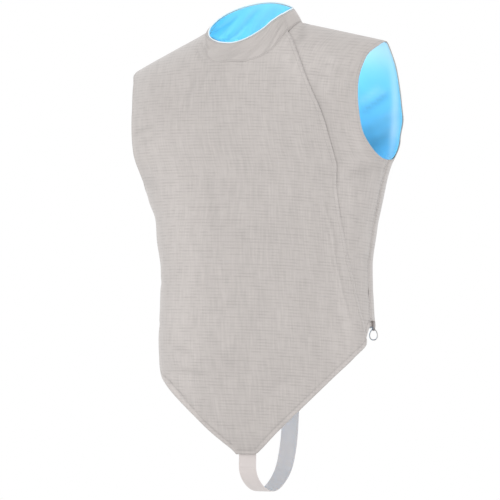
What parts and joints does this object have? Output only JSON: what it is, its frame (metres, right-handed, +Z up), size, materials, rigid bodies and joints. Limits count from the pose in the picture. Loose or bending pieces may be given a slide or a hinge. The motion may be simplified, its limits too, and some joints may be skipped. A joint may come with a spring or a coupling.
{
  "type": "fencing lame vest",
  "caption": "Sleeveless foil fencing vest of silver conductive cloth with a stand collar, a side closing under a lapped front and a crotch strap.",
  "frame": {"origin": "middle of the neck at shoulder level, where the wearer's shoulders hold the vest up", "axes": "+Z up, the wearer faces -Y, +X is the wearer's left"},
  "size_m": [0.4515, 0.237, 0.7902],
  "materials": {
    "lame": "woven silver metallic cloth with fine level ribs, soft sheen",
    "lining": "light blue satin",
    "piping": "matte white binding",
    "webbing": "matte white elastic, fine lengthwise ribs",
    "metal": "grey metal, satin"
  },
  "bodies": {
    "vest": {"front_right": "lame", "front_left": "lame", "back": "lame", "collar": "lame", "collar_piping": "piping", "lining_front_right": "lining", "lining_front_left": "lining", "lining_back": "lining", "lining_collar": "lining", "crotch_strap": "webbing", "zip_slider": "metal"},
    "ring": {"pull_ring": "metal"}
  },
  "joints": [
    {"name": "pull_ring_swing", "type": "hinge", "parent": "vest", "child": "ring", "pos_m": [0.20079, 0.0195, -0.4765], "axis": [1, 0, 0], "range_deg": [-60, 75]}
  ]
}
